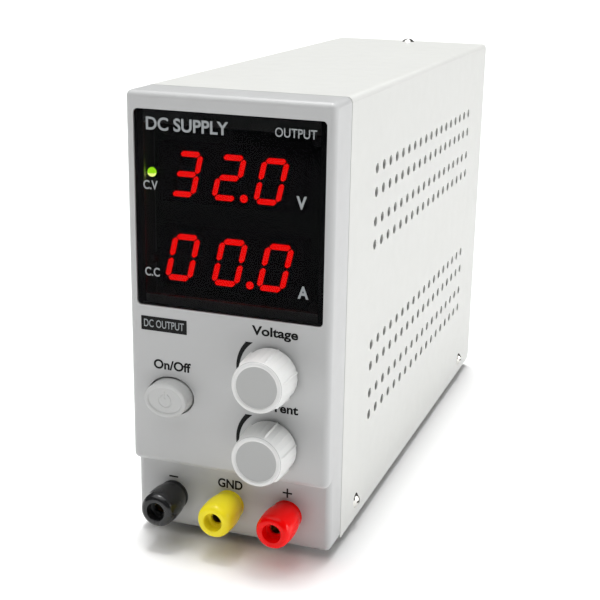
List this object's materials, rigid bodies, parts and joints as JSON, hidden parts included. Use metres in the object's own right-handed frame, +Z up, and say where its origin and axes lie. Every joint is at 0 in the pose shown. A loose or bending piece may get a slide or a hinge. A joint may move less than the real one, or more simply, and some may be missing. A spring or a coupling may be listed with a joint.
{
  "type": "bench power supply",
  "caption": "Narrow upright bench power supply with a smoked digital display, ribbed voltage and current knobs, an oval power button, screw-down binding posts and vented steel cover.",
  "frame": {"origin": "centre of the overall box in X and Y, at the underside of the rubber feet", "axes": "+X to the right seen from the front, +Y from the front to the rear, +Z up"},
  "size_m": [0.078, 0.2462, 0.1655],
  "materials": {
    "chassis_steel": "satin powder coat",
    "cover_steel": "fine textured powder coat",
    "bezel_plastic": "fine matte moulding",
    "window_acrylic": "smoked, polished",
    "circuit_board": "solder mask",
    "display_housing": "matte",
    "display_segments": "lit red",
    "green_lamp": "lit green",
    "red_lamp": "unlit, clear",
    "control_plastic": "satin moulding",
    "switch_plastic": "matte",
    "shaft_metal": "turned",
    "pot_metal": "pressed",
    "black_post": "semi gloss",
    "yellow_post": "semi gloss",
    "red_post": "semi gloss",
    "stud_metal": "nickel flash",
    "nut_metal": "zinc plated",
    "lug_metal": "tinned",
    "case_screw_metal": "nickel plated",
    "foot_rubber": "matte",
    "standoff_brass": "turned",
    "ferrite": "matte ceramic",
    "coil_tape": "tape wrapped",
    "capacitor_sleeve": "shrink sleeve",
    "small_capacitor_sleeve": "shrink sleeve",
    "sink_aluminium": "extruded",
    "transistor_epoxy": "moulded",
    "choke_wire": "enamelled wire",
    "inlet_plastic": "matte",
    "inlet_contacts": "nickel flash",
    "fuse_glass": "clear with metal ends",
    "fan_plastic": "matte",
    "guard_wire": "bright plated wire",
    "selector_red": "matte",
    "lead_insulation": "soft insulation",
    "ribbon_insulation": "soft insulation"
  },
  "bodies": {
    "case": {"chassis": "chassis_steel", "cover": "cover_steel", "front_bezel": "bezel_plastic", "display_window": "window_acrylic", "display_board": "circuit_board", "control_board": "circuit_board", "main_board": "circuit_board", "voltage_display": "display_housing", "current_display": "display_housing", "voltage_segments": "display_segments", "current_segments": "display_segments", "cv_lamp": "green_lamp", "cc_lamp": "red_lamp", "power_switch": "switch_plastic", "voltage_pot": "pot_metal", "current_pot": "pot_metal", "negative_collar": "black_post", "ground_collar": "yellow_post", "positive_collar": "red_post", "negative_stud": "stud_metal", "ground_stud": "stud_metal", "positive_stud": "stud_metal", "pot_nuts": "nut_metal", "post_nuts": "nut_metal", "bezel_screws": "nut_metal", "board_screws": "nut_metal", "solder_lugs": "lug_metal", "cover_screws": "case_screw_metal", "rear_screws": "case_screw_metal", "feet": "foot_rubber", "board_standoffs": "standoff_brass", "transformer_core": "ferrite", "transformer_winding": "coil_tape", "bulk_capacitors": "capacitor_sleeve", "output_capacitors": "small_capacitor_sleeve", "heat_sinks": "sink_aluminium", "transistors": "transistor_epoxy", "toroid_chokes": "choke_wire", "mains_inlet": "inlet_plastic", "selector_switch": "inlet_plastic", "inlet_pins": "inlet_contacts", "fan_frame": "fan_plastic", "fan_guard": "guard_wire", "power_leads": "lead_insulation", "ribbon_cables": "ribbon_insulation"},
    "voltage_control": {"voltage_knob": "control_plastic", "voltage_shaft": "shaft_metal"},
    "current_control": {"current_knob": "control_plastic", "current_shaft": "shaft_metal"},
    "button": {"power_button": "control_plastic"},
    "negative_clamp": {"negative_washer": "black_post"},
    "negative_cap": {"negative_cap": "black_post"},
    "ground_clamp": {"ground_washer": "yellow_post"},
    "ground_cap": {"ground_cap": "yellow_post"},
    "positive_clamp": {"positive_washer": "red_post"},
    "positive_cap": {"positive_cap": "red_post"},
    "fan": {"fan_rotor": "fan_plastic"},
    "selector": {"selector_slider": "selector_red"},
    "drawer": {"fuse_drawer": "inlet_plastic", "fuse": "fuse_glass"}
  },
  "joints": [
    {"name": "voltage_knob_turn", "type": "hinge", "parent": "case", "child": "voltage_control", "pos_m": [0.0164, -0.1158, 0.0702], "axis": [0, 1, 0], "range_deg": [-300, 0]},
    {"name": "current_knob_turn", "type": "hinge", "parent": "case", "child": "current_control", "pos_m": [0.0164, -0.1158, 0.0435], "axis": [0, 1, 0], "range_deg": [-150, 150]},
    {"name": "power_button_press", "type": "slide", "parent": "case", "child": "button", "axis": [0, 1, 0], "range_m": [0, 0.003], "stiffness_N_per_m": 500, "springref_m": -0.001},
    {"name": "negative_clamp_lift", "type": "slide", "parent": "case", "child": "negative_clamp", "axis": [0, -1, 0], "range_m": [0, 0.004]},
    {"name": "negative_cap_turn", "type": "hinge", "parent": "negative_clamp", "child": "negative_cap", "pos_m": [-0.0232, -0.1128, 0.016], "axis": [0, -1, 0], "range_deg": [0, 1440]},
    {"name": "ground_clamp_lift", "type": "slide", "parent": "case", "child": "ground_clamp", "axis": [0, -1, 0], "range_m": [0, 0.004]},
    {"name": "ground_cap_turn", "type": "hinge", "parent": "ground_clamp", "child": "ground_cap", "pos_m": [-0.001, -0.1128, 0.016], "axis": [0, -1, 0], "range_deg": [0, 1440]},
    {"name": "positive_clamp_lift", "type": "slide", "parent": "case", "child": "positive_clamp", "axis": [0, -1, 0], "range_m": [0, 0.004]},
    {"name": "positive_cap_turn", "type": "hinge", "parent": "positive_clamp", "child": "positive_cap", "pos_m": [0.0212, -0.1128, 0.016], "axis": [0, -1, 0], "range_deg": [0, 1440]},
    {"name": "fan_spin", "type": "hinge", "parent": "case", "child": "fan", "pos_m": [0, 0.108, 0.122], "axis": [0, 1, 0], "continuous": true},
    {"name": "selector_slide", "type": "slide", "parent": "case", "child": "selector", "axis": [1, 0, 0], "range_m": [0, 0.007]},
    {"name": "fuse_drawer_pull", "type": "slide", "parent": "case", "child": "drawer", "axis": [0, 1, 0], "range_m": [0, 0.018]}
  ],
  "couplings": [
    {"joint": "negative_cap_turn", "follows": "negative_clamp_lift", "rad_per_m": 6283.2},
    {"joint": "ground_cap_turn", "follows": "ground_clamp_lift", "rad_per_m": 6283.2},
    {"joint": "positive_cap_turn", "follows": "positive_clamp_lift", "rad_per_m": 6283.2}
  ]
}
